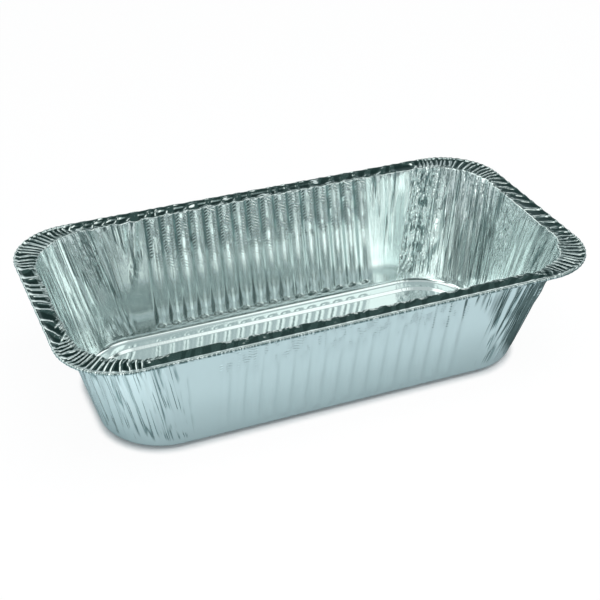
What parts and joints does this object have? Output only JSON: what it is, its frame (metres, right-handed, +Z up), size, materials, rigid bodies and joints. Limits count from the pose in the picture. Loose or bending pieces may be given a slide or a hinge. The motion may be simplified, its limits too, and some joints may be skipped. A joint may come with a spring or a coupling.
{
  "type": "foil tray",
  "caption": "Deep oblong aluminium foil tray with sloping ribbed sides, rounded pleated corners, a stepped base and a flat flange with a rolled edge, for baking and holding food.",
  "frame": {"origin": "centre of the underside of the floor, on the surface the tray stands on", "axes": "+X along the tray's length, +Y across its width, +Z up out of its mouth"},
  "size_m": [0.325, 0.172, 0.08],
  "materials": {
    "foil": "bright rolled foil, creased"
  },
  "bodies": {
    "root": {"foil_tray": "foil"}
  },
  "joints": []
}
